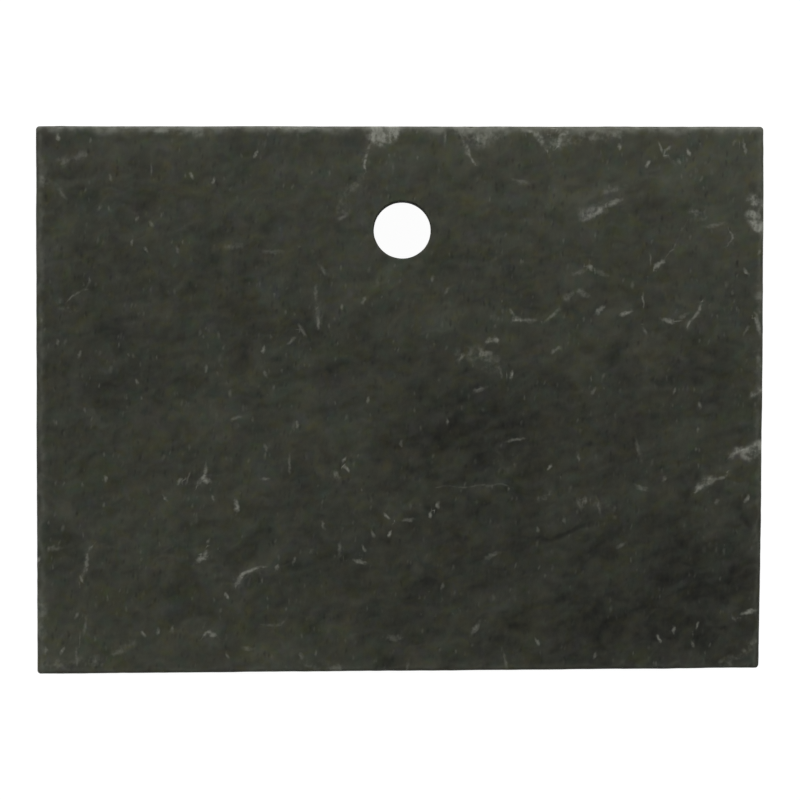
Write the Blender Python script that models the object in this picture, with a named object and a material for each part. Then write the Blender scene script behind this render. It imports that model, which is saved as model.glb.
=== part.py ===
"""Granite work slab with one drilled hole, standing on four stick-on bumper feet.

Metres, +Z up. X runs along the long side and +Y points to the long side that the hole is near,
called the rear. The origin is on the table, under the middle of the slab.
"""
import math

import bmesh
import bpy

# Stone. It is cut by hand, so its left, right and front sides each run in a little.
SLAB_LENGTH = 0.3048         # rear side, along X
SLAB_WIDTH = 0.2294          # rear side to the front left corner, along Y
SLAB_THICKNESS = 0.030       # along Z
LEFT_TAPER = 0.0009          # how far the left side has come in at the front
RIGHT_TAPER = 0.0019         # how far the right side has come in at the front
FRONT_TAPER = 0.0028         # how far the front side has come in at the right
CORNER_RADIUS = 0.0015       # upright corners, seen from above
ARRIS_RADIUS = 0.0010        # eased edge round the top and the bottom face
CORNER_SEGMENTS = 4
ARRIS_SEGMENTS = 3

# Drilled hole, straight through
HOLE_DIAMETER = 0.0240
HOLE_EDGE_DISTANCE = 0.0433  # hole's centre to the rear side
HOLE_OFFSET = 0.0011         # hole's centre to the right of the slab's middle
HOLE_CHAMFER = 0.0006        # eased rim at both faces
HOLE_SEGMENTS = 64
CUTTER_OVERRUN = 0.002       # how far the hole's cutter stands out of both faces

# Bumper feet, turned shapes that taper towards the table
FOOT_DIAMETER = 0.0190       # at the adhesive
FOOT_HEIGHT = 0.0040
FOOT_TAPER = 0.0012          # how much the radius shrinks down the side
FOOT_EDGE_RADIUS = 0.0008    # round edge at the table
FOOT_RECESS_DIAMETER = 0.0070
FOOT_RECESS_DEPTH = 0.0006
FOOT_INSET = 0.0210          # foot's centre to both sides at its corner
FOOT_SEGMENTS = 32
FOOT_EDGE_SEGMENTS = 3

# Adhesive discs between the feet and the stone
ADHESIVE_MARGIN = 0.0007     # how far the disc's edge stays inside the foot's
ADHESIVE_THICKNESS = 0.0008

FACE_GAP = 0.0003            # left between faces that touch

# Heights and places that follow from the sizes above
ADHESIVE_BOTTOM = FOOT_HEIGHT + FACE_GAP
SLAB_BOTTOM = ADHESIVE_BOTTOM + ADHESIVE_THICKNESS + FACE_GAP
SLAB_TOP = SLAB_BOTTOM + SLAB_THICKNESS
HOLE_Y = SLAB_WIDTH / 2 - HOLE_EDGE_DISTANCE

MERGE_DISTANCE = 1e-6
SHARP_ANGLE = math.radians(30)
FULL_TURN = 2 * math.pi


def clear_scene():
    for old in list(bpy.data.objects):
        bpy.data.objects.remove(old, do_unlink=True)


def make_material(name, color, roughness):
    material = bpy.data.materials.new(name)
    material.use_nodes = True
    shader = material.node_tree.nodes["Principled BSDF"]
    shader.inputs["Base Color"].default_value = (*color, 1.0)
    shader.inputs["Roughness"].default_value = roughness
    shader.inputs["Metallic"].default_value = 0.0
    return material


def add_object(name, builder, material=None):
    """Turn a bmesh into an object whose round sides shade smooth."""
    bmesh.ops.recalc_face_normals(builder, faces=builder.faces)
    mesh = bpy.data.meshes.new(name)
    builder.to_mesh(mesh)
    builder.free()
    mesh.shade_smooth()
    mesh.set_sharp_from_angle(angle=SHARP_ANGLE)
    if material:
        mesh.materials.append(material)
    piece = bpy.data.objects.new(name, mesh)
    bpy.context.scene.collection.objects.link(piece)
    return piece


def turned(profile, segments):
    """Spin a profile of (radius, height) points, from axis to axis, into a closed solid."""
    builder = bmesh.new()
    points = [builder.verts.new((radius, 0.0, height)) for radius, height in profile]
    edges = [builder.edges.new(pair) for pair in zip(points, points[1:])]
    bmesh.ops.spin(
        builder,
        geom=points + edges,
        cent=(0, 0, 0),
        axis=(0, 0, 1),
        angle=FULL_TURN,
        steps=segments,
        use_merge=True,
    )
    bmesh.ops.remove_doubles(builder, verts=builder.verts, dist=MERGE_DISTANCE)
    return builder


def slab_corners():
    """The slab's corners in plan, each with the signs that point from the middle to it."""
    half_length = SLAB_LENGTH / 2
    half_width = SLAB_WIDTH / 2
    return {
        "front_left": (-half_length + LEFT_TAPER, -half_width, -1, -1),
        "front_right": (half_length - RIGHT_TAPER, -half_width + FRONT_TAPER, 1, -1),
        "rear_right": (half_length, half_width, 1, 1),
        "rear_left": (-half_length, half_width, -1, 1),
    }


def round_edges(builder, edges, radius, segments):
    bmesh.ops.bevel(
        builder, geom=edges, offset=radius, segments=segments, profile=0.5, affect="EDGES"
    )
    builder.normal_update()


def upright(edge):
    low, high = sorted(vert.co.z for vert in edge.verts)
    return high - low > SLAB_THICKNESS / 2


def flat(face):
    return abs(face.normal.z) > 0.5


def rim(edge):
    """True where the top or the bottom face meets the side."""
    return sum(flat(face) for face in edge.link_faces) == 1


def make_hole_cutter():
    """The hole as a solid: a plain shank that opens into a cone at each face."""
    radius = HOLE_DIAMETER / 2
    flare = HOLE_CHAMFER + CUTTER_OVERRUN
    low = SLAB_BOTTOM - CUTTER_OVERRUN
    high = SLAB_TOP + CUTTER_OVERRUN
    profile = [
        (0.0, low),
        (radius + flare, low),
        (radius, SLAB_BOTTOM + HOLE_CHAMFER),
        (radius, SLAB_TOP - HOLE_CHAMFER),
        (radius + flare, high),
        (0.0, high),
    ]
    cutter = add_object("hole_cutter", turned(profile, HOLE_SEGMENTS))
    cutter.location = (HOLE_OFFSET, HOLE_Y, 0.0)
    cutter.hide_render = True
    cutter.display_type = "WIRE"
    return cutter


def make_slab(material):
    builder = bmesh.new()
    outline = [builder.verts.new((x, y, SLAB_BOTTOM)) for x, y, _, _ in slab_corners().values()]
    base = builder.faces.new(outline)
    raised = bmesh.ops.extrude_face_region(builder, geom=[base])["geom"]
    raised_points = [item for item in raised if isinstance(item, bmesh.types.BMVert)]
    bmesh.ops.translate(builder, vec=(0, 0, SLAB_THICKNESS), verts=raised_points)
    bmesh.ops.recalc_face_normals(builder, faces=builder.faces)
    corners = [edge for edge in builder.edges if upright(edge)]
    round_edges(builder, corners, CORNER_RADIUS, CORNER_SEGMENTS)
    rims = [edge for edge in builder.edges if rim(edge)]
    round_edges(builder, rims, ARRIS_RADIUS, ARRIS_SEGMENTS)
    slab = add_object("granite_slab", builder, material)
    drill = slab.modifiers.new("drilled_hole", "BOOLEAN")
    drill.operation = "DIFFERENCE"
    drill.solver = "EXACT"
    drill.object = make_hole_cutter()


def foot_profile():
    """From the recess in the foot's underside, round the table edge and up the tapered side."""
    top_radius = FOOT_DIAMETER / 2
    low_radius = top_radius - FOOT_TAPER
    recess_radius = FOOT_RECESS_DIAMETER / 2
    profile = [
        (0.0, FOOT_RECESS_DEPTH),
        (recess_radius - FOOT_RECESS_DEPTH, FOOT_RECESS_DEPTH),
        (recess_radius, 0.0),
    ]
    for step in range(FOOT_EDGE_SEGMENTS + 1):
        angle = math.pi / 2 * step / FOOT_EDGE_SEGMENTS
        radius = low_radius - FOOT_EDGE_RADIUS * (1 - math.sin(angle))
        profile.append((radius, FOOT_EDGE_RADIUS * (1 - math.cos(angle))))
    profile.append((top_radius, FOOT_HEIGHT))
    profile.append((0.0, FOOT_HEIGHT))
    return profile


def adhesive_profile():
    radius = FOOT_DIAMETER / 2 - ADHESIVE_MARGIN
    top = ADHESIVE_BOTTOM + ADHESIVE_THICKNESS
    return [(0.0, ADHESIVE_BOTTOM), (radius, ADHESIVE_BOTTOM), (radius, top), (0.0, top)]


def make_feet(rubber, adhesive):
    """One foot and one adhesive disc near each corner."""
    for corner, (x, y, side_x, side_y) in slab_corners().items():
        place = (x - side_x * FOOT_INSET, y - side_y * FOOT_INSET, 0.0)
        foot = add_object(f"foot_{corner}", turned(foot_profile(), FOOT_SEGMENTS), rubber)
        disc = add_object(f"adhesive_{corner}", turned(adhesive_profile(), FOOT_SEGMENTS), adhesive)
        foot.location = place
        disc.location = place


def main():
    clear_scene()
    granite = make_material("granite", (0.042, 0.044, 0.032), 0.62)
    rubber = make_material("foot_rubber", (0.018, 0.018, 0.019), 0.75)
    adhesive = make_material("adhesive", (0.70, 0.69, 0.64), 0.55)
    make_slab(granite)
    make_feet(rubber, adhesive)


main()
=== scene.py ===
import functools
import math

import bmesh
import bpy
import numpy as np
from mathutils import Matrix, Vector, noise


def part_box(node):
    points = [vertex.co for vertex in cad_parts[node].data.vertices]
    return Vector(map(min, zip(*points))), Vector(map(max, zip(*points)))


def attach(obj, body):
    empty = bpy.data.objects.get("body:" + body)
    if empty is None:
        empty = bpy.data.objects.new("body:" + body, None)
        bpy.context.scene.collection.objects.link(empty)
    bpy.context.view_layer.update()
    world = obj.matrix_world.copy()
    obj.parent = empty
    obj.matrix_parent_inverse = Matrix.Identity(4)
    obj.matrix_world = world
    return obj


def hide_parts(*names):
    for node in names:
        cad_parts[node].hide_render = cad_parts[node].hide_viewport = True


# Looks of a granite work slab: a honed block with one drilled hole, on four stick-on rubber feet.
# X runs along the long side, +Y towards the rear side that the hole is near, +Z up, in metres.

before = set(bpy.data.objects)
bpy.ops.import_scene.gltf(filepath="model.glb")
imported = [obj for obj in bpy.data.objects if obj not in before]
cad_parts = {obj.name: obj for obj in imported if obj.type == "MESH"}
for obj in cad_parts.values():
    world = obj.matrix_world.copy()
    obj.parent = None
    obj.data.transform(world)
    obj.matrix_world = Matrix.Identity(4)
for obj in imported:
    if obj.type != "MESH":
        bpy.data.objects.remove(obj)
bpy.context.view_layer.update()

MM = 0.001
MERGE_DISTANCE = 1e-7

# Edges of the slab, as in the CAD
CORNER_RADIUS = 1.5 * MM
ARRIS = 1.0 * MM
HOLE_CHAMFER = 0.6 * MM
SIDE_FACE_AREA = 1e-3  # a CAD face this large, in square metres, is on one of the four sides

# Fineness of the stone's mesh. The underside has every second line of the working face's grid.
GRID_SPACING = 1.12 * MM
EDGE_STEPS = (0.30 * MM, 0.40 * MM, 0.50 * MM, 0.70 * MM)  # first grid cells in from each side
HOLE_BLOCK = 17.0 * MM  # half the square around the hole that is meshed in rings
HOLE_RINGS = 12
ROUND_STEPS = 4  # steps round each eased edge
WALL_ROWS_FINE = 9  # rows of faces down the upper half of a wall
WALL_ROWS_COARSE = 5  # and down the lower half

# Relief of the stone
FACE_RELIEF = 0.10 * MM  # brushed working face
SAWN_RELIEF = 0.07 * MM  # sides, underside and bore
EDGE_WANDER = 0.16 * MM  # how far a side strays from its straight line
EDGE_CHIP = 0.42 * MM  # deepest nick in an arris
RIGHT_BOW = 0.55 * MM  # the right side swells this much at its middle
VEIN_RIDGE = 0.05 * MM  # hard veins stand this proud of the brushed face

# Sizes of the noise behind the relief
BRUSHED_SIZE = 11 * MM
FINE_SIZE = 3.2 * MM
SAWN_SIZE = 6 * MM
WANDER_SIZE = 38 * MM
NICK_SIZE = 2.6 * MM

# Worn edges at the front, right, rear and left, paler stone plus a painted highlight, strongest on the rear
# arris that the rear softbox lights: (strength, its place in mm from the side, half width in mm)
EDGE_WEAR_AND_HIGHLIGHT = ((0.15, 1.4, 0.8), (0.3, 1.4, 0.8), (1.1, 0.5, 1.7), (0.4, 1.8, 1.3))

# Finishes of the stone: (material, shade, roughness, specular level, regions of the mesh)
FINISHES = (
    ("honed_granite", 1.0, 0.60, 0.25, ("top",)),
    ("sawn_granite", 0.92, 0.70, 0.20, ("front", "right", "rear", "left", "bottom")),
    # the bore's low shade of 0.40 is painted shade inside the hole
    ("drilled_granite_painted_shade", 0.40, 0.85, 0.05, ("bore",)),
)

# The marks on the working face are placed in mm from the slab's middle.
# Veins that wind: (strength, half width, route)
VEINS = (
    (0.9, 0.9, ((-12, 107), (-14, 102), (-15, 97))),
    (0.9, 0.8, ((25, 111), (29, 106), (29, 103), (32, 99))),
    (1.0, 1.5, ((54, 113), (58, 112), (60, 108), (61, 105))),
    (0.9, 1.6, ((64, 114), (69, 112), (67, 109), (66, 107))),
    (0.8, 0.5, ((138, 71), (140, 68), (137, 65))),
    (0.3, 0.5, ((120, 75), (117, 71), (115, 65), (111, 61))),
    (0.7, 0.8, ((121, 31), (123, 34), (125, 37), (127, 41))),
    (0.24, 0.5, ((15, -36), (30, -36), (43, -35), (47, -36))),
    (0.5, 0.8, ((-138, 42), (-135, 45), (-131, 46), (-130, 50))),
    (1.0, 0.8, ((-81, -27), (-81, -32), (-84, -36))),
    (1.0, 0.9, ((-69, -77), (-66, -73), (-61, -71), (-57, -70))),
    (0.6, 0.8, ((-134, -77), (-132, -72), (-130, -64), (-128, -61))),
    (0.8, 1.0, ((-82, -99), (-80, -97), (-76, -100))), (1.0, 1.0, ((138, -24), (141, -22), (144, -21))),
    (0.6, 0.8, ((124, -38), (129, -35), (137, -30))), (0.3, 0.7, ((-57, -94), (-51, -94), (-47, -90))),
)

# Pale patches with soft outlines: (strength, half width, route)
HAZES = (
    (1.2, 3.6, ((-9, 117), (-9, 111), (-3, 112), (-2, 117))),
    (0.28, 2.4, ((-16, 94), (-19, 89), (-25, 85), (-24, 77))),
    (0.42, 4.2, ((25, 114), (34, 109), (43, 114))), (0.42, 3.2, ((64, 107), (76, 111), (92, 111))),
    (0.36, 2.2, ((-101, 113), (-84, 112))), (0.3, 2.6, ((-141, 100), (-132, 103))),
    (0.35, 2.4, ((-150, 96), (-148, 90))), (0.3, 2.6, ((112, 103), (115, 100))),
    (0.5, 2.9, ((78, 78), (84, 80))), (0.35, 2.0, ((87, 87), (93, 89))),
    (0.8, 2.4, ((147, 84), (152, 82))), (0.9, 2.8, ((148, 77), (149, 73), (152, 73))),
    (0.4, 2.0, ((123, 79), (128, 77))), (0.35, 2.0, ((69, 43), (75, 45), (79, 44))),
    (0.8, 1.3, ((49, 34), (52, 33))), (0.4, 1.3, ((53, 33), (59, 34))),
    (0.3, 4.6, ((26, 19), (33, 19), (39, 15))), (0.6, 1.5, ((37, 25), (41, 25))),
    (0.3, 2.6, ((149, 20), (151, 14))), (0.7, 1.8, ((148, 3), (151, 5))),
    (0.3, 2.2, ((-142, 40), (-136, 38))), (0.3, 2.0, ((-72, 65), (-67, 64))),
    (0.35, 2.6, ((-149, -110), (-137, -111), (-125, -109))), (0.24, 2.6, ((-119, -105), (-112, -102))),
    (0.35, 3.0, ((-150, -86), (-150, -98))), (0.18, 3.6, ((75, -43), (90, -44))),
    (0.22, 2.6, ((-34, 40), (-34, 31))), (0.35, 2.4, ((151, 48), (151, 38))),
    (0.28, 2.2, ((-4, -99), (0, -100))), (0.8, 1.8, ((139, -23), (142, -21))),
    (1.0, 2.4, ((146, -23), (148, -20), (152, -19))), (0.5, 2.0, ((126, -36), (131, -33))),
    (0.4, 2.2, ((136, -110), (142, -107), (149, -102))), (0.3, 2.0, ((59, -41), (63, -39))),
    (0.4, 1.6, ((-27, -31), (-26, -34))),
    (0.3, 2.6, ((-40, -110), (-24, -112))),
)

# Short straight marks: (half width, both ends), by strength
FLECKS = {
    0.4: ((0.8, (-143, 89), (-140, 85)), (0.9, (-56, 62), (-51, 62)), (1.1, (83, 54), (86, 53)),
        (0.8, (99, -17), (101, -24)), (0.6, (75, -42), (76, -45)), (0.6, (83, -42), (84, -47)),
        (0.6, (4, -110), (3, -114))),
    0.5: ((0.7, (-25, 76), (-22, 78)), (0.5, (19, 113), (19, 108)), (0.8, (-33, 56), (-31, 53)),
        (0.7, (-35, 47), (-35, 43)), (0.9, (49, 92), (53, 91)), (0.9, (129, 73), (135, 74)),
        (0.4, (105, 61), (105, 57)), (0.8, (73, 53), (76, 54)), (0.7, (118, 35), (120, 36)),
        (0.5, (144, 28), (146, 31)), (0.7, (81, 3), (82, 5)), (0.5, (34, 21), (34, 19)),
        (0.5, (42, 13), (43, 10)), (0.8, (-70, -8), (-67, -7)), (0.5, (-46, -24), (-46, -30)),
        (0.7, (-131, -92), (-132, -97)), (0.6, (-135, -104), (-135, -109)), (0.7, (-65, -104), (-62, -104)),
        (0.9, (-146, -62), (-143, -62)), (0.7, (-25, -60), (-25, -64)), (0.9, (37, -66), (41, -64)),
        (0.5, (44, -107), (45, -112)), (0.7, (94, -60), (92, -61)), (0.9, (-119, -106), (-116, -105)),
        (0.8, (100, -36), (103, -37)), (0.4, (-104, 98), (-104, 95))),
    0.6: ((0.8, (-42, 31), (-40, 28)), (0.6, (-46, 24), (-44, 26)), (0.7, (62, 34), (66, 37)),
        (0.6, (64, 20), (67, 22)), (0.9, (32, 4), (35, 5)), (0.9, (36, 20), (38, 20)),
        (0.5, (20, -8), (20, -10)), (0.5, (-88, -31), (-89, -34)), (0.7, (2, -50), (5, -50)),
        (0.6, (-57, -33), (-55, -33)), (0.9, (78, 76), (80, 77)), (0.9, (83, 79), (85, 81)),
        (0.6, (45, -17), (51, -16))),
    0.7: ((0.6, (-34, 34), (-34, 31)), (0.5, (112, 105), (113, 106)), (0.6, (144, 108), (145, 104)),
        (0.4, (102, 44), (102, 40)), (0.9, (31, -97), (33, -94)), (0.9, (-102, 113), (-99, 113))),
    0.8: ((1.0, (88, 82), (92, 84)), (0.5, (109, 107), (110, 104)), (0.9, (107, 56), (110, 58)),
        (0.8, (111, 34), (114, 33)), (0.7, (149, 35), (150, 29)), (0.7, (-18, -67), (-15, -68))),
    0.9: ((0.9, (83, 37), (85, 39)), (0.8, (93, 36), (96, 37)), (0.8, (-82, -34), (-80, -34)),
        (0.5, (-54, 114), (-51, 114)), (0.6, (-47, 114), (-38, 114))),
    1.0: ((0.9, (-84, -67), (-82, -66)), (0.9, (-68, -43), (-68, -46)), (0.5, (-6, -48), (-5, -49)),
        (0.9, (145, -89), (148, -88))),
}

# Larger pale grains: their places, by strength
SPECKS = {
    0.5: ((-93, 63), (-121, 93), (140, 108), (103, 29), (14, 51), (1, -18), (-56, -20), (-126, 80),
        (-25, -112), (125, -12), (18, -78), (140, -91), (20, 46), (69, -50), (58, -54)),
    0.6: ((-15, 42), (117, 100), (150, 62), (-13, 0), (-56, 11), (-134, 19), (-110, 8), (-81, 13),
        (-80, -59), (-72, -107), (-135, -90), (-95, -96), (-78, -41), (-110, 76), (-104, 74), (-112, 66),
        (-44, -67), (-11, -56), (115, 4), (126, -2), (75, -24), (111, -33), (123, -102), (82, -107),
        (-24, 39), (-41, -107), (133, -42), (-143, 24), (78, -42)),
    0.7: ((-78, 92), (47, 37), (26, 18), (-43, -10), (-123, -33), (-92, -34), (-98, -41), (-148, -105),
        (-101, -97), (-106, 63), (-81, -64), (-15, -62), (-32, -52), (-51, -70)),
    0.8: ((-87, 94), (-60, 103), (33, 109), (80, 56), (-141, -105), (-107, -98), (115, -96), (125, -94),
        (58, -101), (-23, -25)),
    0.9: ((-143, 110), (92, 106), (104, 99), (145, 54), (47, 11), (-57, 21), (-72, -82), (-151, -67),
        (-133, -75), (16, -44), (63, -28), (109, -100), (145, -41), (13, -48)),
    1.0: ((121, 104), (-4, -56), (-22, -29)),
}
SPECK_LENGTH = 1.2
SPECK_HALF_WIDTH = 0.62
SPECK_LEAN = 0.3  # grains lean aside by up to this much of their length
SPECK_LEAN_STEP = 2.4  # so that neighbours lean by different amounts
FLECK_FADE = (2.6, 1.2)  # a mark's field fades in from the first distance in mm to the second
FLECK_DEPTH = 2.5 * MM  # short marks and grains end at this depth

# A natural crack in the working face
FISSURE = ((56, -57), (63, -58), (69, -56), (75, -54), (80, -52), (87, -50))
FISSURE_WIDTH = 1.1 * MM
FISSURE_DEPTH = 0.16 * MM
FISSURE_FLOOR = 4 * MM  # the crack is closed at this depth
VEIN_FADE = 1.0 * MM  # a vein's reach fades out over this much more than its width
VEIN_LEAN = (0.35, 0.2)  # a vein moves this much aside for each unit of depth
GRAIN_TURN = math.radians(24)  # the stone's streaks climb this much to the right
OUTSIDE = 9.0  # stands for a place outside every mark, in half widths

# How the marks stray from their routes: sizes and amounts of the noise that pushes them
VEIN_STRAY = ((9 * MM, 1.3 * MM), (3 * MM, 0.7 * MM))
WEAR_AND_HIGHLIGHT_STRAY = ((10 * MM, 1.6 * MM), (3.5 * MM, 1.0 * MM))
FLECK_STRAY = ((4 * MM, 0.5 * MM),)
TONE_STRAY = ((30 * MM, 9 * MM),)

# Colours of the stone
STONE_COLOR = (0.0373, 0.0394, 0.0277)
PALE_COLOR = (0.26, 0.265, 0.225)

# Bumper feet and adhesive discs, as in the CAD where it has the detail
TURNED_STEPS = 96
FOOT_TAPER = 1.2 * MM
FOOT_EDGE = 0.8 * MM
FOOT_TOP_EDGE = 0.25 * MM
FOOT_RECESS = 3.5 * MM  # radius of the recess underneath
FOOT_RECESS_DEPTH = 0.6 * MM
FOOT_RECESS_EDGE = 0.3 * MM  # rounding at the recess's ceiling
FOOT_MOUTH_EDGE = 0.25 * MM  # rounding at its mouth
FOOT_GROOVES = 3
FOOT_GROOVE_WIDTH = 0.5 * MM
FOOT_GROOVE_DEPTH = 0.18 * MM
FOOT_FLASH = 0.12 * MM  # how far the moulding line stands out of the side
FOOT_FLASH_PLACE = 0.62  # its height, as a share of the foot's
DISC_SQUEEZE = 0.28 * MM  # closes the CAD's gap to the faces above and below
DISC_EDGE_STEPS = 6
DISC_BULGE = 0.15 * MM
DISC_WOBBLE = 0.10 * MM
DISC_RIM = 0.3 * MM  # the disc's last ring of faces, on both of its sides
WOBBLE_SIZE = 0.45 * MM
SHARP_ANGLE = math.radians(40)

# Stage, light and camera
FLOOR_SIZE = 40.0
FLOOR_GLOW = 0.965
HORIZON_LIGHT = 1.0
ZENITH_LIGHT = 0.30
CAMERA_DISTANCE = 3.5
CAMERA_LENS = 376.1
CAMERA_PLACE = (0.00027, 0.00012)
CAMERA_ROLL = math.radians(0.055)

# Broad lighter and darker areas: (amount, radius, x and y of its centre), in mm from the slab's middle
AREAS = (
    (-0.65, 28, 24, -5), (-0.75, 40, 26, -40), (-0.45, 20, 78, -8), (-0.3, 22, 112, 4),
    (-0.75, 34, 118, -66), (-0.85, 42, 94, -98), (-0.65, 20, 138, -78), (-0.45, 30, -4, -90),
    (-0.3, 20, -40, -62), (-0.7, 6, -18, 30), (-0.3, 26, -122, 24), (-0.25, 14, -57, -78),
    (-0.4, 16, -40, 26), (0.6, 30, 132, 106), (0.55, 34, 52, 112), (0.45, 13, -10, 108),
    (0.45, 40, -90, 116), (0.3, 24, -6, 62), (0.25, 20, 84, 74), (0.2, 14, 72, 46),
    (0.5, 12, 34, 24), (0.35, 16, -136, -96), (0.45, 12, -146, -110), (0.3, 14, -66, -106),
    (0.15, 30, -90, -30), (0.3, 18, 130, -30), (0.3, 20, 146, 60), (1.0, 26, 146, 106),
    (-0.25, 16, 110, 74), (0.45, 20, -100, 50), (0.35, 20, 40, 104), (0.35, 22, 84, 104),
    (0.25, 16, 112, 104), (0.4, 12, -12, 102), (0.45, 10, 1, 88), (0.5, 12, -24, -114),
    (-0.2, 14, -38, -48), (0.25, 14, 16, 74), (0.25, 13, 86, 76), (0.7, 17, 142, 28),
    (-0.65, 20, 130, 2), (-0.3, 16, 62, 1), (-0.32, 42, 28, -52), (0.35, 13, -14, -46),
    (0.3, 13, 86, -46), (0.25, 13, 138, -24), (0.75, 18, -140, -98), (0.2, 14, -140, -72),
    (0.4, 13, -59, -100), (0.25, 14, -112, -100), (0.3, 12, -13, -100), (-0.4, 20, 108, -98),
    (-0.2, 28, 54, -96), (-0.28, 44, -108, 22), (-0.3, 34, -92, 76), (-0.18, 34, -80, -18),
)


# ---- The slab as the CAD has it

def read_vectors(items, key):
    flat = np.zeros(len(items) * 3)
    items.foreach_get(key, flat)
    return flat.reshape(-1, 3)


def read_numbers(items, key):
    numbers = np.zeros(len(items), np.int32)
    items.foreach_get(key, numbers)
    return numbers


def meet(side_a, side_b):
    """The plan point where two sides cross, each a normal and its distance from the origin."""
    normals = np.array([side_a[0], side_b[0]])
    distances = np.array([side_a[1], side_b[1]])
    return Vector(np.linalg.solve(normals, distances))


def read_corners():
    """The four plan corners, sharp, from front left round to rear left."""
    sides = {}
    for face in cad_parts["granite_slab"].data.polygons:
        if abs(face.normal.z) < 0.01 and face.area > SIDE_FACE_AREA:
            normal = face.normal.xy
            facing = (round(normal.x), round(normal.y))
            sides[facing] = (normal, normal.dot(face.center.xy))
    front, right, rear, left = sides[0, -1], sides[1, 0], sides[0, 1], sides[-1, 0]
    return [meet(front, left), meet(front, right), meet(rear, right), meet(rear, left)]


def read_hole():
    """The hole's centre in plan, and its radius."""
    margin = Vector((5 * MM, 5 * MM))
    places = read_vectors(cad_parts["granite_slab"].data.vertices, "co")[:, :2]
    off_sides = (places > np.array(slab_low.xy + margin)) & (places < np.array(slab_high.xy - margin))
    inside = places[off_sides.all(axis=1)]
    centre = Vector((inside.min(axis=0) + inside.max(axis=0)) / 2)
    return centre, min((Vector(place) - centre).length for place in inside)


slab_low, slab_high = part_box("granite_slab")
CORNERS = read_corners()
HOLE_CENTRE, HOLE_RADIUS = read_hole()
SLAB_LENGTH = slab_high.x - slab_low.x
SLAB_WIDTH = slab_high.y - slab_low.y


# ---- The stone's mesh

def even_spans(start, end):
    """Grid lines from start to end, about a grid spacing apart, in an even number of cells."""
    cells = 2 * max(1, round((end - start) / GRID_SPACING / 2))
    return np.linspace(start, end, cells + 1)


def grid_lines(length, hole_place):
    """Places of the grid lines across the slab, as shares of its size, and the hole block's two lines."""
    near_edge = np.concatenate(([0.0], np.cumsum(EDGE_STEPS)))
    block_low = hole_place - HOLE_BLOCK
    block_high = hole_place + HOLE_BLOCK
    before = even_spans(near_edge[-1], block_low)
    across = even_spans(block_low, block_high)
    after = even_spans(block_high, length - near_edge[-1])
    far_edge = (length - near_edge[:-1])[::-1]
    lines = np.concatenate((near_edge[:-1], before[:-1], across[:-1], after, far_edge))
    first = len(near_edge) - 1 + len(before) - 1
    return lines / length, first, first + len(across) - 1


def inset_corners(inset):
    """The outline's corners after each side has moved inwards."""
    moved = []
    for i, corner in enumerate(CORNERS):
        to_next = (CORNERS[(i + 1) % 4] - corner).normalized()
        to_last = (CORNERS[i - 1] - corner).normalized()
        moved.append(corner + (to_next + to_last) * inset / abs(to_next.cross(to_last)))
    return moved


def between(corners, share_x, share_y):
    front = corners[0].lerp(corners[1], share_x)
    rear = corners[3].lerp(corners[2], share_x)
    return front.lerp(rear, share_y)


def round_corner(point, corner, along, across, radius):
    """Moves a point that lies on a side, near its corner, onto the corner's arc."""
    distance = (point - corner).dot(along)
    if distance >= radius:
        return point
    turn = math.pi / 4 * (1 - distance / radius)
    centre = corner + (along + across) * radius
    return centre - (across * math.cos(turn) + along * math.sin(turn)) * radius


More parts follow.
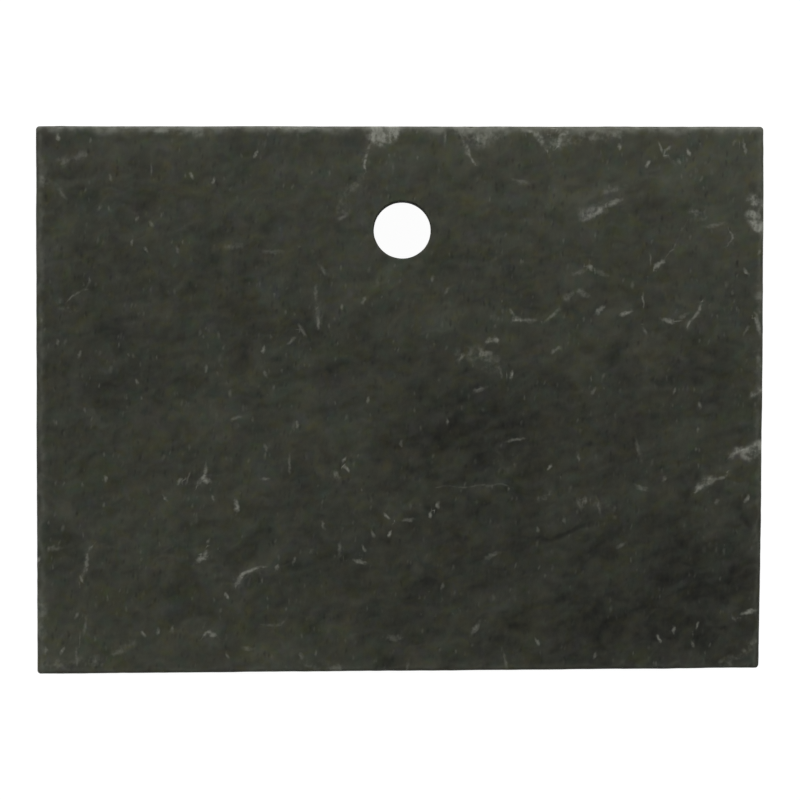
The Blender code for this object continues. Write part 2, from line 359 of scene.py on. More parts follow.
class SlabMesh:
    """Grows the slab's surface as lists of points and faces, with the region that each face is in."""

    REGIONS = ("top", "front", "right", "rear", "left", "bore", "bottom")

    def __init__(self):
        self.points = []
        self.faces = []
        self.regions = []
        local_hole = HOLE_CENTRE - slab_low.xy
        self.lines_x, self.block_x0, self.block_x1 = grid_lines(SLAB_LENGTH, local_hole.x)
        self.lines_y, self.block_y0, self.block_y1 = grid_lines(SLAB_WIDTH, local_hole.y)
        self.cells_x = len(self.lines_x) - 1
        self.cells_y = len(self.lines_y) - 1
        self.rim_keys = self.around(0, self.cells_x, 0, self.cells_y)
        self.block_keys = self.around(self.block_x0, self.block_x1, self.block_y0, self.block_y1)

    @staticmethod
    def around(x0, x1, y0, y1):
        """Grid places round a rectangle, from its front left corner, anticlockwise from above."""
        front = [(i, y0) for i in range(x0, x1)]
        right = [(x1, j) for j in range(y0, y1)]
        rear = [(i, y1) for i in range(x1, x0, -1)]
        left = [(x0, j) for j in range(y1, y0, -1)]
        return front + right + rear + left

    def add_points(self, plan, height):
        """Adds plan points at one height and returns their numbers."""
        start = len(self.points)
        self.points.extend((point.x, point.y, height) for point in plan)
        return list(range(start, len(self.points)))

    def add_face(self, numbers, region):
        self.faces.append(numbers)
        self.regions.append(self.REGIONS.index(region))

    def side_of(self, index, count):
        """The region of the wall at a place in a loop round the slab."""
        place = index * len(self.rim_keys) / count
        ends = (self.cells_x, self.cells_x + self.cells_y, 2 * self.cells_x + self.cells_y)
        return self.REGIONS[1 + sum(place >= end for end in ends)]

    def bridge(self, loop_a, loop_b, region):
        """Faces between two loops, where the second has as many points or half as many."""
        ratio = len(loop_a) // len(loop_b)
        count = len(loop_b)
        for i in range(count):
            upper = [loop_a[(i * ratio + k) % len(loop_a)] for k in range(ratio + 1)]
            lower = [loop_b[(i + 1) % count], loop_b[i]]
            self.add_face(upper + lower, self.side_of(i, count) if region == "side" else region)

    def outline(self, inset, step=1):
        """Plan points of a loop round the slab, with round corners, inset from the sides."""
        corners = inset_corners(inset)
        radius = CORNER_RADIUS - inset
        plan = []
        for i, j in self.rim_keys[::step]:
            point = between(corners, self.lines_x[i], self.lines_y[j])
            on_x_side = j in (0, self.cells_y)
            right = i > self.cells_x / 2
            rear = j > self.cells_y / 2
            corner = corners[(2 if right else 3) if rear else (1 if right else 0)]
            along_x = Vector((-1.0 if right else 1.0, 0.0))
            along_y = Vector((0.0, -1.0 if rear else 1.0))
            along, across = (along_x, along_y) if on_x_side else (along_y, along_x)
            plan.append(round_corner(point, corner, along, across, radius))
        return plan

    def flat_face(self, height, step, region):
        """A flat face with a round hole. Returns its outer loop and the loop at the hole."""
        corners = inset_corners(ARRIS)
        rim = dict(zip(self.rim_keys, self.outline(ARRIS)))
        number = {}
        plan = []
        for i in range(0, self.cells_x + 1, step):
            for j in range(0, self.cells_y + 1, step):
                in_block = self.block_x0 < i < self.block_x1 and self.block_y0 < j < self.block_y1
                if not in_block:
                    number[i, j] = len(self.points) + len(plan)
                    plan.append(rim.get((i, j)) or between(corners, self.lines_x[i], self.lines_y[j]))
        self.add_points(plan, height)
        for i in range(0, self.cells_x, step):
            for j in range(0, self.cells_y, step):
                keys = ((i, j), (i + step, j), (i + step, j + step), (i, j + step))
                in_block = self.block_x0 <= i < self.block_x1 and self.block_y0 <= j < self.block_y1
                if not in_block:
                    self.add_face([number[key] for key in keys], region)
        block = [number[key] for key in self.block_keys[::step]]
        return [number[key] for key in self.rim_keys[::step]], self.ring_patch(block, height, region)

    def hole_circle(self, inset, step):
        """Plan points round the hole, one in line with each point of the block around it."""
        corners = inset_corners(ARRIS)
        radius = HOLE_RADIUS + inset
        plan = []
        for i, j in self.block_keys[::step]:
            out = between(corners, self.lines_x[i], self.lines_y[j]) - HOLE_CENTRE
            plan.append(HOLE_CENTRE + out.normalized() * radius)
        return plan

    def ring_patch(self, block, height, region):
        """Rings of faces from the block's square edge in to the hole's rim."""
        square = [Vector(self.points[number][:2]) for number in block]
        step = len(self.block_keys) // len(block)
        circle = self.hole_circle(HOLE_CHAMFER, step)
        rings = HOLE_RINGS // step
        loop = block
        for ring in range(1, rings + 1):
            share = ring / rings
            eased = share * (2 - share)
            plan = [a.lerp(b, eased) for a, b in zip(square, circle)]
            inner = self.add_points(plan, height)
            self.bridge(loop, inner, region)
            loop = inner
        return loop

    def wall(self, loop, plan_at, radius, high, low, region):
        """A wall that goes round an eased edge, down, and round the lower edge. It halves on its way.

        plan_at gives a loop's plan points from its distance inside the wall and the step between them."""
        middle = (high + low) / 2
        levels = [(radius * (1 - math.sin(t)), high - radius * (1 - math.cos(t)), 1) for t in quarter()]
        levels += [(0.0, z, 1) for z in np.linspace(high - radius, middle, WALL_ROWS_FINE + 1)[1:]]
        levels += [(0.0, z, 2) for z in np.linspace(middle, low + radius, WALL_ROWS_COARSE + 1)[1:]]
        levels += [(radius * (1 - math.cos(t)), low + radius * (1 - math.sin(t)), 2) for t in quarter()]
        for row, (inside, height, step) in enumerate(levels):
            following = self.add_points(plan_at(inside, step), height)
            self.bridge(loop, following, "top" if row < ROUND_STEPS - 1 else region)
            loop = following

    def build(self):
        top, bottom = slab_high.z, slab_low.z
        rim, hole = self.flat_face(top, 1, "top")
        self.wall(rim, self.outline, ARRIS, top, bottom, "side")
        self.wall(hole, self.hole_circle, HOLE_CHAMFER, top, bottom, "bore")
        self.flat_face(bottom, 2, "bottom")
        mesh = bpy.data.meshes.new("granite_block")
        mesh.from_pydata(self.points, [], self.faces)
        region = mesh.attributes.new("region", "INT", "FACE")
        region.data.foreach_set("value", self.regions)
        builder = bmesh.new()
        builder.from_mesh(mesh)
        bmesh.ops.remove_doubles(builder, verts=builder.verts, dist=MERGE_DISTANCE)
        bmesh.ops.recalc_face_normals(builder, faces=builder.faces)
        builder.to_mesh(mesh)
        builder.free()
        mesh.shade_smooth()
        return mesh


def quarter():
    """Angles of the steps round a quarter turn, without its start."""
    return [math.pi / 2 * step / ROUND_STEPS for step in range(1, ROUND_STEPS + 1)]


# ---- Relief, veins and areas

def fractal(points, size, octaves=3, stretch=(1.0, 1.0, 1.0), turn=0.0):
    """Smooth noise of about -1 to 1 with features of that size, drawn out along the turned x axis."""
    cos, sin = math.cos(turn), math.sin(turn)
    x = (points[:, 0] * cos + points[:, 1] * sin) / (size * stretch[0])
    y = (points[:, 1] * cos - points[:, 0] * sin) / (size * stretch[1])
    z = points[:, 2] / (size * stretch[2])
    return np.array([noise.fractal(place, 1.0, 2.1, octaves) for place in zip(x, y, z)])


def ease(value, low, high):
    share = np.clip((value - low) / (high - low), 0.0, 1.0)
    return share * share * (3 - 2 * share)


def stray(places, pushes):
    """Plan places pushed about by noise, so that what is drawn along a route wanders."""
    for size, amount in pushes:
        flat = np.column_stack((places, np.zeros(len(places))))
        push = np.column_stack((fractal(flat, size, 2), fractal(flat + 1.0, size, 2)))
        places = places + push * amount
    return places


def across_route(places, route):
    """Each plan place's distance from a route, that signed by its side, and its share of the way."""
    nearest = np.full(len(places), np.inf)
    signed = np.zeros(len(places))
    along = np.zeros(len(places))
    legs = len(route) - 1
    for i in range(legs):
        leg = route[i + 1] - route[i]
        from_start = places - route[i]
        share = np.clip(from_start @ leg / (leg @ leg), 0.0, 1.0)
        distance = np.linalg.norm(from_start - share[:, None] * leg, axis=1)
        side = np.where(leg[0] * from_start[:, 1] > leg[1] * from_start[:, 0], 1.0, -1.0)
        closer = distance < nearest
        nearest[closer] = distance[closer]
        signed[closer] = (distance * side)[closer]
        along[closer] = ((i + share) / legs)[closer]
    return nearest, signed, along


def vein_fields(places):
    """At each place, how strongly a vein reaches it and how many half widths across that vein it is."""
    reach = np.zeros(len(places))
    across = np.full(len(places), OUTSIDE)
    for strength, half_width, route in VEINS:
        nearest, signed, along = across_route(places, np.array(route) * MM)
        width = half_width * MM * (0.35 + 0.65 * np.sin(math.pi * (0.12 + 0.76 * along)))
        here = strength * np.exp(-(nearest / (1.4 * width + VEIN_FADE)) ** 2)
        stronger = here > reach
        reach[stronger] = here[stronger]
        across[stronger] = (signed / width)[stronger]
    return reach, across


def haze_field(places):
    haze = np.zeros(len(places))
    for strength, half_width, route in HAZES:
        nearest, _, _ = across_route(places, np.array(route) * MM)
        haze = np.maximum(haze, strength * np.exp(-(nearest / (half_width * MM)) ** 2.2))
    return haze


def fleck_field(places):
    """In the nearest short mark: half widths across, half lengths along, and its strength."""
    marks = [(strength, *mark) for strength, group in FLECKS.items() for mark in group]
    for strength, at in ((strength, at) for strength, group in SPECKS.items() for at in group):
        lean = SPECK_LEAN * math.sin(SPECK_LEAN_STEP * len(marks))
        half = np.array((lean, 0.5)) * SPECK_LENGTH
        marks.append((strength, SPECK_HALF_WIDTH, at + half, at - half))
    field = np.full((len(places), 3), OUTSIDE)
    field[:, 2] = 0.0
    nearest = np.full(len(places), np.inf)
    for strength, half_width, start, end in marks:
        middle = (np.array(start) + end) / 2
        half = np.array(end) - middle
        direction = half / np.linalg.norm(half)
        from_middle = places / MM - middle
        half_length = np.linalg.norm(half) + half_width
        along = from_middle @ direction / half_length
        across = from_middle @ np.array((-direction[1], direction[0])) / half_width
        distance = np.hypot(along, across) * half_width
        closer = distance < nearest
        nearest[closer] = distance[closer]
        here = np.stack((across, along, strength * ease(distance, *FLECK_FADE)), axis=1)
        field[closer] = here[closer]
    return field


def area_tone(places):
    tone = np.zeros(len(places))
    for amount, radius, *centre in AREAS:
        distance = np.linalg.norm(places - np.array(centre) * MM, axis=1)
        tone += amount * np.exp(-(distance / (radius * MM)) ** 2)
    return tone


def edge_wear_and_highlight(points):
    """Paler, rubbed stone along the arrises, with a painted highlight on them, most of all at the rear
    where the light comes from.
    """
    ragged = stray(points[:, :2], WEAR_AND_HIGHLIGHT_STRAY)
    wear_and_highlight = np.zeros(len(points))
    for i, (strength, place, half_width) in enumerate(EDGE_WEAR_AND_HIGHLIGHT):
        along = (CORNERS[(i + 1) % 4] - CORNERS[i]).normalized()
        inside = (ragged - np.array(CORNERS[i])) @ np.array((-along.y, along.x))
        wear_and_highlight = np.maximum(wear_and_highlight, strength * np.exp(-((inside - place * MM) / (half_width * MM)) ** 2))
    return wear_and_highlight * ease(points[:, 2], slab_high.z - ARRIS, slab_high.z)


def carve(points, normals, fissure, reach):
    """The stone's true surface: brushed relief, sawn walls, wandering sides and nicked edges."""
    up = normals[:, 2]
    face = ease(up, 0.6, 0.98)
    level = ease(-up, 0.6, 0.98)
    wall = 1 - face - level
    brushed = fractal(points, BRUSHED_SIZE, 4, (1.8, 1.0, 1.0), GRAIN_TURN)
    fine = fractal(points, FINE_SIZE, 2)
    sawn = fractal(points, SAWN_SIZE, 3, (1.0, 1.0, 3.0))
    wander = fractal(points, WANDER_SIZE, 3)
    nick = fractal(points, NICK_SIZE, 2)
    out = face * (FACE_RELIEF * (brushed + 0.3 * fine) + VEIN_RIDGE * reach - FISSURE_DEPTH * fissure)
    out += (wall + level) * SAWN_RELIEF * sawn
    out += wall * EDGE_WANDER * wander
    eased_edge = ease(np.abs(up), 0.10, 0.35) * (1 - ease(np.abs(up), 0.90, 0.99))
    out -= eased_edge * EDGE_CHIP * ease(nick, 0.25, 0.85)
    moved = points + normals * out[:, None]
    share = (points[:, 1] - slab_low.y) / SLAB_WIDTH
    near_right = ease(points[:, 0], slab_high.x - 20 * MM, slab_high.x)
    moved[:, 0] += RIGHT_BOW * 4 * share * (1 - share) * near_right
    return moved


def add_fields(mesh, fields):
    for name, values in fields.items():
        kind, key = ("FLOAT", "value") if values.ndim == 1 else ("FLOAT_VECTOR", "vector")
        field = mesh.attributes.new(name, kind, "POINT")
        field.data.foreach_set(key, values.astype(np.float32).ravel())


def lay_out_bake_map(mesh):
    """A UV map that gives the working face most of the square."""
    points = read_vectors(mesh.vertices, "co")
    corner_vertex = read_numbers(mesh.loops, "vertex_index")
    totals = read_numbers(mesh.polygons, "loop_total")
    corner_region = np.repeat(read_numbers(mesh.attributes["region"].data, "value"), totals)
    x, y, z = (points[corner_vertex] - np.array(slab_low)).T
    margin = 0.01
    thickness = slab_high.z - slab_low.z
    top_scale = (1 - 2 * margin) / SLAB_LENGTH
    shelf = 2 * margin + SLAB_WIDTH * top_scale
    shelf_height = 1 - margin - shelf
    bottom_scale = shelf_height / SLAB_WIDTH
    strip_left = 2 * margin + SLAB_LENGTH * bottom_scale
    strip_scale = (shelf_height - 3 * margin / 2) / (4 * thickness)
    bore_left = strip_left + SLAB_LENGTH * strip_scale + margin
    bore_scale = (1 - margin - bore_left) / (2 * math.pi * HOLE_RADIUS)
    hole = np.array(HOLE_CENTRE - slab_low.xy)
    angle = unwrap_faces(np.arctan2(y - hole[1], x - hole[0]), totals)
    row = thickness * strip_scale + margin / 2
    uv = np.zeros((len(corner_vertex), 2))
    for region, left, along, low, up, scale in (
        ("top", margin, x, margin, y, top_scale),
        ("bottom", margin, x, shelf, y, bottom_scale),
        ("front", strip_left, x, shelf, z, strip_scale),
        ("rear", strip_left, x, shelf + row, z, strip_scale),
        ("left", strip_left, y, shelf + 2 * row, z, strip_scale),
        ("right", strip_left, y, shelf + 3 * row, z, strip_scale),
        ("bore", bore_left, (angle + math.pi) * HOLE_RADIUS, shelf, z, bore_scale),
    ):
        here = corner_region == SlabMesh.REGIONS.index(region)
        uv[here] = np.column_stack((left + along * scale, low + up * scale))[here]
    layer = mesh.uv_layers.new(name="OFBake")
    layer.data.foreach_set("uv", uv.astype(np.float32).ravel())


def unwrap_faces(angle, totals):
    """Angles of face corners, with no face torn where the angle starts again."""
    starts = np.concatenate(([0], np.cumsum(totals)[:-1]))
    highest = np.repeat(np.maximum.reduceat(angle, starts), totals)
    torn = highest - angle > math.pi
    return np.where(torn, angle + 2 * math.pi, angle)


def make_slab():
    mesh = SlabMesh().build()
    points = read_vectors(mesh.vertices, "co")
    # A vein is a sheet that leans as it goes down, so a lower place shows what is beside it on the face.
    lean = (slab_high.z - points[:, 2])[:, None] * np.array(VEIN_LEAN)
    places = points[:, :2] + lean
    strayed = stray(places, VEIN_STRAY)
    reach, across = vein_fields(strayed)
    nearest, _, along = across_route(strayed, np.array(FISSURE) * MM)
    open_depth = ease(points[:, 2], slab_high.z - FISSURE_FLOOR, slab_high.z)
    fissure = np.exp(-(nearest / FISSURE_WIDTH) ** 2) * open_depth * np.sin(math.pi * (0.1 + 0.8 * along))
    lay_out_bake_map(mesh)
    normals = read_vectors(mesh.vertex_normals, "vector")
    mesh.vertices.foreach_set("co", carve(points, normals, fissure, reach).ravel())
    mesh.update()
    fleck = fleck_field(stray(places, FLECK_STRAY))
    fleck[:, 2] *= ease(points[:, 2], slab_high.z - FLECK_DEPTH, slab_high.z)
    add_fields(mesh, {
        "vein_reach": reach,
        "vein_across": across,
        "haze": haze_field(strayed),
        "fleck": fleck,
        "fissure": fissure,
        "tone": area_tone(stray(places, TONE_STRAY)),
        "wear_and_highlight": edge_wear_and_highlight(points),
    })
    give_finishes(mesh)
    add_piece("granite_block", mesh, "granite_slab")


def give_finishes(mesh):
    finish_of_region = np.zeros(len(SlabMesh.REGIONS), np.int32)
    for number, (name, shade, roughness, specular, regions) in enumerate(FINISHES):
        mesh.materials.append(granite_material(name, shade, roughness, specular))
        for region in regions:
            finish_of_region[SlabMesh.REGIONS.index(region)] = number
    finishes = finish_of_region[read_numbers(mesh.attributes["region"].data, "value")]
    mesh.polygons.foreach_set("material_index", finishes)


def add_object(name, data):
    item = bpy.data.objects.new(name, data)
    bpy.context.scene.collection.objects.link(item)
    return item


def add_piece(name, mesh, node):
    """A mesh as a piece that stands for a CAD node and moves with the object's one body."""
    piece = add_object(name, mesh)
    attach(piece, "root")
    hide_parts(node)


# ---- Materials

class Shader:
    """A material or the world, built node by node. A value is a number, a tuple or a node's output."""

    def __init__(self, owner, surface):
        owner.use_nodes = True
        self.owner = owner
        self.tree = owner.node_tree
        self.surface = self.tree.nodes[surface].inputs

    def put(self, socket, value):
        if isinstance(value, bpy.types.NodeSocket):
            self.tree.links.new(value, socket)
        elif socket.type == "RGBA":
            socket.default_value = (*value, 1.0)
        else:
            socket.default_value = value

    def add(self, kind, inputs, output=0, **settings):
        node = self.tree.nodes.new("ShaderNode" + kind)
        for name, value in settings.items():
            setattr(node, name, value)
        for name, value in inputs.items():
            self.put(node.inputs[name], value)
        return node.outputs[output]

    def math(self, operation, a, b=0.0):
        return self.add("Math", {0: a, 1: b}, operation=operation)

    def vector(self, operation, a, b):
        return self.add("VectorMath", {0: a, 1: b}, operation=operation)

    def scaled(self, vector, scale):
        """A place or a colour times a number."""
        return self.add("VectorMath", {0: vector, "Scale": scale}, operation="SCALE")

    def times(self, *values):
        return functools.reduce(lambda a, b: self.math("MULTIPLY", a, b), values)

    def total(self, *values):
        return functools.reduce(lambda a, b: self.math("ADD", a, b), values)

    def noise(self, place, size, detail=2.0, roughness=0.5, output="Fac"):
        inputs = {"Vector": place, "Scale": 1 / size, "Detail": detail, "Roughness": roughness}
        return self.add("TexNoise", inputs, output)

    def centred(self, fraction, amount):
        """A value of 0 to 1, moved to run evenly to both sides of zero, times an amount."""
        return self.times(self.math("SUBTRACT", fraction, 0.5), amount)

    def sway(self, amount, place, size, detail=2.0, roughness=0.5):
        return self.centred(self.noise(place, size, detail, roughness), amount)

    def warp(self, place, size, amount):
        """A place pushed about by noise."""
        push = self.vector("SUBTRACT", self.noise(place, size, output="Color"), (0.5, 0.5, 0.5))
        return self.vector("ADD", place, self.scaled(push, amount))

    def drawn_out(self, place, degrees, stretch):
        """A place to look a texture up at, so that it is drawn out in that direction in plan."""
        inputs = {"Vector": place, "Rotation": (0, 0, math.radians(degrees)), "Scale": (stretch, 1, 1)}
        return self.add("Mapping", inputs, vector_type="TEXTURE")

    def ease(self, value, low, high, to_low=0.0, to_high=1.0):
        """Eases from to_low to to_high as the value goes from low to high, which may be the smaller."""
        if low > high:
            low, high, to_low, to_high = high, low, to_high, to_low
        inputs = {"Value": value, "From Min": low, "From Max": high, "To Min": to_low, "To Max": to_high}
        return self.add("MapRange", inputs, interpolation_type="SMOOTHSTEP")

    def blend(self, share, a, b, blend_type="MIX"):
        return self.add("Mix", {0: share, 6: a, 7: b}, 2, data_type="RGBA", blend_type=blend_type)

    def field(self, name, output="Fac"):
        return self.add("Attribute", {}, output, attribute_name=name)

    def finish(self, color, roughness, height, depth, strength):
        """Completes a surface. The height, of 0 to 1, stands for fine relief of that depth in metres."""
        bump = self.add("Bump", {"Height": height, "Distance": depth, "Strength": strength})
        for name, value in (("Base Color", color), ("Roughness", roughness), ("Normal", bump)):
            self.put(self.surface[name], value)
        return self.owner


def new_material(name, roughness, specular):
    shader = Shader(bpy.data.materials.new(name), "Principled BSDF")
    shader.surface["Roughness"].default_value = roughness
    shader.surface["Specular IOR Level"].default_value = specular
    shader.mm = shader.scaled(shader.add("TexCoord", {}, "Object"), 1 / MM)
    return shader


def granite_material(name, shade, roughness, specular):
    """Dark olive grey stone: softly mottled, with pale broken veins and short pale and dark grains."""
    shader = new_material(name, roughness, specular)
    warped = shader.warp(shader.mm, 14, 8)
    streaked = shader.drawn_out(warped, 20, 1.5)
    upright = shader.drawn_out(shader.warp(shader.warp(shader.mm, 6, 2.2), 1.6, 0.8), 84, 2.2)
    reach = shader.field("vein_reach")

    patch = shader.noise(streaked, 3.8, 2, 0.45)
    fibre = shader.noise(upright, 1.5, 2, 0.45)
    value = shader.total(
        1.0,
        shader.times(shader.field("tone"), 0.36),
        shader.sway(0.6, streaked, 26),
        shader.sway(1.05, streaked, 10, 2, 0.5),
        shader.centred(patch, 0.95),
        shader.centred(fibre, 0.34),
    )
    color = tint_patches(shader, shader.scaled(STONE_COLOR, value), warped)

    small_pale, small_dark = grains(shader, upright, 1.6, 0.60, shader.times(reach, 0.30))
    large_pale, large_dark = grains(shader, upright, 2.2, 0.84, 0.0)
    dark = shader.total(shader.times(small_dark, -0.36), shader.times(large_dark, -0.42))
    color = shader.scaled(color, shader.total(1.0, dark))
    pale = shader.total(
        vein_cover(shader, streaked),
        haze_cover(shader, upright),
        fleck_cover(shader),
        shader.times(small_pale, 0.28),
        shader.times(large_pale, 0.42),
        shader.times(wisps(shader, streaked), 0.035),
    )
    color = shader.blend(pale, color, PALE_COLOR)

    # Paler edges: wear along every arris, and a painted highlight mostly on the rear arris
    rubbed_and_lit = shader.ease(shader.noise(shader.mm, 5, 3, 0.6), 0.36, 0.62, 0.45, 1.0)
    color = shader.blend(shader.times(shader.field("wear_and_highlight"), rubbed_and_lit, 0.42), color, PALE_COLOR)
    # Painted shade: the stone is painted darker along the crack
    color = shader.scaled(color, shader.ease(shader.field("fissure"), 0.1, 0.9, 1.0, 0.5))
    # Each finish's shade; the bore's is painted shade inside the hole
    color = shader.scaled(color, shade)

    uneven = shader.total(shader.centred(patch, 0.25), shader.times(pale, 0.08))
    pits = shader.ease(shader.noise(shader.mm, 0.7, 3, 0.6), 0.36, 0.30)
    height = shader.total(shader.times(fibre, 0.3), shader.times(patch, 0.8), shader.times(pits, -0.5))
    return shader.finish(color, shader.total(roughness, uneven), height, 0.05 * MM, 0.3)


def vein_cover(shader, place):
    """How much of a spot a vein covers: a soft haze along its route, and broken pale stone on it."""
    wobble = shader.sway(1.8, shader.mm, 2.6, 2)
    off_line = shader.math("ABSOLUTE", shader.total(shader.field("vein_across"), wobble))
    line = shader.ease(off_line, 1.4, 0.2)
    reach = shader.field("vein_reach")
    clumps = shader.ease(shader.noise(place, 2.0, 2), 0.38, 0.60, 0.25, 1.0)
    gaps = shader.ease(shader.noise(shader.mm, 6, 1), 0.40, 0.54, 0.45, 1.0)
    haze = shader.times(reach, clumps, 0.10)
    return shader.total(haze, shader.times(reach, line, gaps, clumps, 0.58))


def haze_cover(shader, place):
    """How much of a spot a soft pale patch covers."""
    clumps = shader.ease(shader.noise(shader.mm, 3.4, 3, 0.55), 0.34, 0.66, 0.35, 1.35)
    fibres = shader.ease(shader.noise(place, 1.5, 2, 0.5), 0.34, 0.62, 0.55, 1.0)
    cover = shader.ease(shader.times(shader.field("haze"), clumps), 0.05, 1.0, 0.0, 0.85)
    return shader.times(cover, fibres)


def fleck_cover(shader):
    """How much of a spot a short mark covers. Its outline is a little ragged."""
    parts = shader.add("SeparateXYZ", {0: shader.field("fleck", "Vector")}).node.outputs
    across = shader.total(parts[0], shader.sway(2.4, shader.mm, 1.6))
    along = shader.total(parts[1], shader.sway(1.8, shader.mm, 2.2))
    squares = shader.total(shader.times(across, across), shader.times(along, along))
    inside = shader.ease(shader.math("SQRT", squares), 1.75, 0.0)
    broken = shader.ease(shader.noise(shader.mm, 1.3, 2), 0.34, 0.58, 0.62, 1.0)
    return shader.times(inside, broken, shader.math("POWER", parts[2], 1.5), 0.73)


def grains(shader, place, size, least, lift):
    """Short grains that stand nearly upright, in loose clusters: how pale and how dark a spot is.

    Of the cells, those whose chance is over least have a pale grain. lift adds to the chance."""
    inputs = {"Vector": place, "Scale": 1 / size}
    shape = shader.ease(shader.add("TexVoronoi", inputs, "Distance"), 0.50, 0.0)
    chances = shader.add("SeparateColor", {0: shader.add("TexVoronoi", inputs, "Color")}).node.outputs
    cluster = shader.ease(shader.noise(shader.mm, 13, 2), 0.42, 0.64, 0.2, 1.0)
    chance = shader.ease(shader.total(chances[0], lift), least, 1.1)
    pale = shader.times(shape, shader.math("POWER", chance, 1.6), shader.total(cluster, lift))
    return pale, shader.times(shape, shader.ease(chances[1], 0.70, 1.0))


def wisps(shader, place):
    """Thin winding lines, a little paler than the stone."""
    ridge = shader.math("ABSOLUTE", shader.sway(2.0, place, 13, 2, 0.5))
    where = shader.ease(shader.noise(shader.mm, 22, 1), 0.50, 0.66)
    return shader.times(shader.ease(ridge, 0.14, 0.0), where)


def tint_patches(shader, color, place):
    """Faint patches of teal, olive, violet and brown minerals, large and small."""
    for size, strength in ((13, 0.35), (5, 0.52)):
        noise_color = shader.noise(place, size, 1, output="Color")
        channels = shader.add("SeparateColor", {0: noise_color}).node.outputs
        for channel, low, high, tint in (
            (channels[0], 0.54, 0.72, (0.78, 1.05, 1.02)),
            (channels[1], 0.54, 0.70, (1.06, 1.05, 0.60)),
            (channels[2], 0.56, 0.74, (1.00, 0.94, 1.28)),
            (channels[0], 0.44, 0.28, (1.12, 0.97, 0.88)),
        ):
            share = shader.times(shader.ease(channel, low, high), strength)
            color = shader.blend(share, color, tint, "MULTIPLY")
    return color


def rubber_material():
    """Black moulded rubber: matt, finely pitted, with dust in its pores."""
    shader = new_material("moulded_rubber", roughness=0.7, specular=0.4)
    grain = shader.noise(shader.mm, 0.35, 3, 0.6)
    dust = shader.ease(shader.noise(shader.mm, 2.2, 3, 0.65), 0.52, 0.72)
    color = shader.scaled((0.017, 0.017, 0.018), shader.total(0.85, shader.times(grain, 0.3)))
    color = shader.blend(shader.times(dust, 0.10), color, (0.16, 0.155, 0.14))
    roughness = shader.total(0.66, shader.times(grain, 0.14), shader.times(dust, 0.1))
    return shader.finish(color, roughness, grain, 0.05 * MM, 0.7)


def foam_material():
    """Off-white foam tape, open pored at its cut edge."""
    shader = new_material("foam_tape", roughness=0.8, specular=0.3)
    cells = shader.add("TexVoronoi", {"Vector": shader.mm, "Scale": 3.2}, "Distance")
    pores = shader.ease(cells, 0.15, 0.45)
    soil = shader.ease(shader.noise(shader.mm, 3.0, 3, 0.6), 0.45, 0.70)
    color = shader.blend(pores, (0.42, 0.41, 0.37), (0.72, 0.71, 0.66))
    color = shader.blend(shader.times(soil, 0.35), color, (0.36, 0.33, 0.27))
    return shader.finish(color, shader.total(0.74, shader.times(soil, 0.12)), pores, 0.12 * MM, 0.8)


def floor_material():
    """Plain pale studio floor, which glows a little so that shadows on it stay faint."""
    shader = new_material("studio_floor", roughness=0.9, specular=0.1)
    shade = shader.noise(shader.mm, 900, 1)
    color = shader.blend(shade, (0.155, 0.155, 0.155), (0.17, 0.17, 0.17))
    shader.put(shader.surface["Base Color"], color)
    shader.surface["Emission Color"].default_value = (1.0, 1.0, 1.0, 1.0)
    shader.surface["Emission Strength"].default_value = FLOOR_GLOW
    return shader.owner


# ---- Feet and their adhesive discs

def arc(centre, radius, start, end, steps):
    """Profile points on an arc, with angles in degrees from the outward direction."""
    points = []
    for step in range(steps + 1):
        angle = math.radians(start + (end - start) * step / steps)
        points.append((centre[0] + radius * math.cos(angle), centre[1] + radius * math.sin(angle)))
    return points


def turned_mesh(name, profile, centre, wobble):
    """A profile of (radius, height) points, from axis to axis, turned round an upright axis.

    wobble moves the surface in and out at random by up to that much."""
    builder = bmesh.new()
    line = [builder.verts.new((radius, 0.0, height)) for radius, height in profile]
    edges = [builder.edges.new(pair) for pair in zip(line, line[1:])]
    bmesh.ops.spin(
        builder, geom=line + edges, cent=(0, 0, 0), axis=(0, 0, 1),
        angle=2 * math.pi, steps=TURNED_STEPS, use_merge=True,
    )
    bmesh.ops.remove_doubles(builder, verts=builder.verts, dist=MERGE_DISTANCE)
    bmesh.ops.recalc_face_normals(builder, faces=builder.faces)
    for vert in builder.verts:
        outward = vert.co.xy.normalized() if vert.co.xy.length > MERGE_DISTANCE else Vector((0.0, 0.0))
        push = wobble * noise.noise((vert.co + centre) / WOBBLE_SIZE) if vert.is_manifold else 0.0
        vert.co.x += outward.x * push + centre.x
        vert.co.y += outward.y * push + centre.y
    mesh = bpy.data.meshes.new(name)
    builder.to_mesh(mesh)
    builder.free()
    mesh.shade_smooth()
    mesh.set_sharp_from_angle(angle=SHARP_ANGLE)
    return mesh


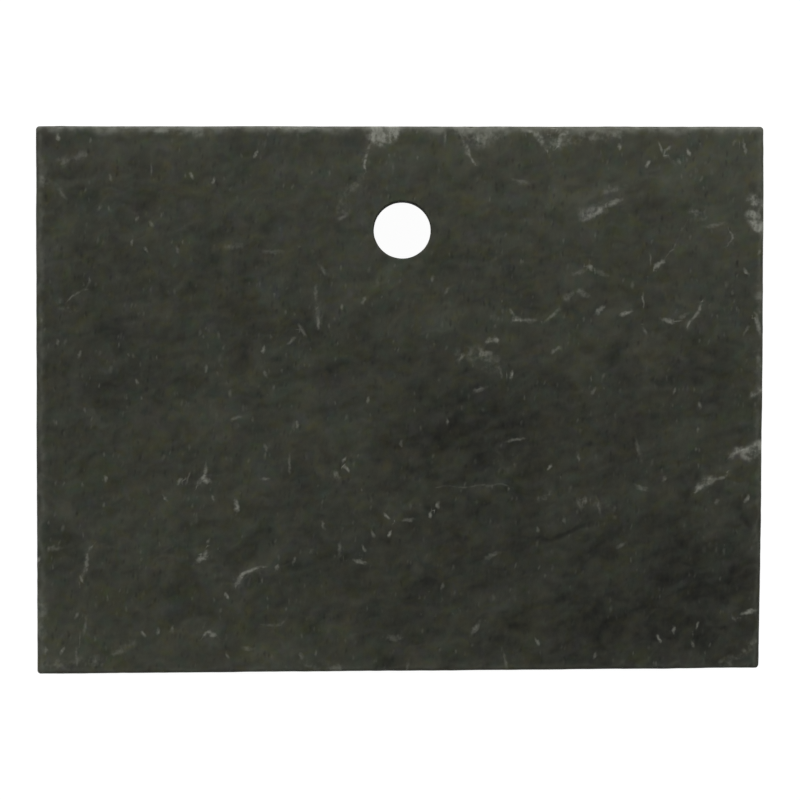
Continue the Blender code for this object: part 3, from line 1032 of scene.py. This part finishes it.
def foot_profile(low, high):
    """From the recess underneath, over the grooved ring it stands on, up the tapered side to the top."""
    top_radius = (high.x - low.x) / 2
    ring_radius = top_radius - FOOT_TAPER - FOOT_EDGE
    profile = [(0.0, low.z + FOOT_RECESS_DEPTH)]
    ceiling_edge = (FOOT_RECESS - 3 * FOOT_RECESS_EDGE, low.z + FOOT_RECESS_DEPTH - FOOT_RECESS_EDGE)
    profile += arc(ceiling_edge, FOOT_RECESS_EDGE, 90, 30, 3)
    mouth_edge = (FOOT_RECESS + FOOT_MOUTH_EDGE, low.z + FOOT_MOUTH_EDGE)
    profile += arc(mouth_edge, FOOT_MOUTH_EDGE, 210, 270, 3)
    for groove in range(1, FOOT_GROOVES + 1):
        middle = FOOT_RECESS + (ring_radius - FOOT_RECESS) * groove / (FOOT_GROOVES + 1)
        half = FOOT_GROOVE_WIDTH / 2
        profile += [(middle - half, low.z), (middle - half / 2, low.z + FOOT_GROOVE_DEPTH)]
        profile += [(middle + half / 2, low.z + FOOT_GROOVE_DEPTH), (middle + half, low.z)]
    profile += arc((ring_radius, low.z + FOOT_EDGE), FOOT_EDGE, 270, 360, 6)
    flash = low.z + (high.z - low.z) * FOOT_FLASH_PLACE
    side_radius = ring_radius + FOOT_EDGE + FOOT_TAPER * 0.5
    profile += [(side_radius, flash - FOOT_FLASH), (side_radius + FOOT_FLASH, flash)]
    profile += [(side_radius + FOOT_FLASH / 3, flash + FOOT_FLASH)]
    profile += arc((top_radius - FOOT_TOP_EDGE, high.z - FOOT_TOP_EDGE), FOOT_TOP_EDGE, 0, 90, 4)
    profile.append((0.0, high.z))
    return profile


def disc_profile(low, high):
    """A foam disc, squeezed between the foot and the stone, whose cut edge bulges a little."""
    radius = (high.x - low.x) / 2
    bottom = low.z - DISC_SQUEEZE
    top = high.z + DISC_SQUEEZE
    profile = [(0.0, bottom), (radius * 0.5, bottom), (radius - DISC_RIM, bottom)]
    for step in range(DISC_EDGE_STEPS + 1):
        share = step / DISC_EDGE_STEPS
        bulge = DISC_BULGE * math.sin(math.pi * share)
        profile.append((radius + bulge, bottom + (top - bottom) * share))
    profile += [(radius - DISC_RIM, top), (radius * 0.5, top), (0.0, top)]
    return profile


def make_feet():
    parts = (
        ("foot", "bumper", foot_profile, 0.0, rubber_material(), "foot_rubber"),
        ("adhesive", "tape_disc", disc_profile, DISC_WOBBLE, foam_material(), "adhesive"),
    )
    for corner in ("front_left", "front_right", "rear_left", "rear_right"):
        for node, piece, profile, wobble, material, slot in parts:
            low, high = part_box(f"{node}_{corner}")
            middle = Vector(((low.x + high.x) / 2, (low.y + high.y) / 2, 0.0))
            mesh = turned_mesh(f"{piece}_{corner}", profile(low, high), middle, wobble)
            mesh.materials.append(material)
            add_piece(f"{piece}_{corner}", mesh, f"{node}_{corner}")


# ---- Stage, light and camera

def make_floor():
    builder = bmesh.new()
    bmesh.ops.create_grid(builder, x_segments=8, y_segments=8, size=FLOOR_SIZE / 2)
    mesh = bpy.data.meshes.new("studio_floor")
    builder.to_mesh(mesh)
    builder.free()
    mesh.materials.append(floor_material())
    add_object("studio_floor", mesh)


def make_world():
    """Soft light from all round, paler towards the horizon than overhead."""
    sky = Shader(bpy.data.worlds.new("studio"), "Background")
    up = sky.add("SeparateXYZ", {0: sky.add("TexCoord", {}, "Generated")}, "Z")
    ramp = {"Value": up, "From Min": 0.0, "From Max": 0.6, "To Min": HORIZON_LIGHT, "To Max": ZENITH_LIGHT}
    sky.put(sky.surface["Strength"], sky.add("MapRange", ramp))
    sky.put(sky.surface["Color"], (1.0, 1.0, 1.0))
    bpy.context.scene.world = sky.owner


def add_softbox(name, place, size, power):
    """A rectangular light that faces the middle of the slab."""
    light = bpy.data.lights.new(name, "AREA")
    light.shape = "RECTANGLE"
    light.size, light.size_y = size
    light.energy = power
    lamp = add_object(name, light)
    lamp.location = place
    lamp.rotation_euler = (-Vector(place)).to_track_quat("-Z", "Y").to_euler()


def make_camera():
    """Looks straight down on the working face from far away, with the hole's side at the top."""
    camera = bpy.data.cameras.new("camera")
    camera.sensor_width = 36.0
    camera.lens = CAMERA_LENS
    camera.clip_end = 2 * CAMERA_DISTANCE
    holder = add_object("camera", camera)
    holder.location = (CAMERA_PLACE[0], CAMERA_PLACE[1], slab_high.z + CAMERA_DISTANCE)
    holder.rotation_euler = (0.0, 0.0, CAMERA_ROLL)
    bpy.context.scene.camera = holder


make_camera()
make_slab()
make_feet()
make_floor()
make_world()
add_softbox("rear_softbox", place=(0.15, 1.20, 0.95), size=(1.2, 0.6), power=14.0)
add_softbox("left_softbox", place=(-1.3, 0.3, 0.9), size=(0.6, 0.6), power=2.5)
bpy.context.scene.view_settings.view_transform = "Standard"
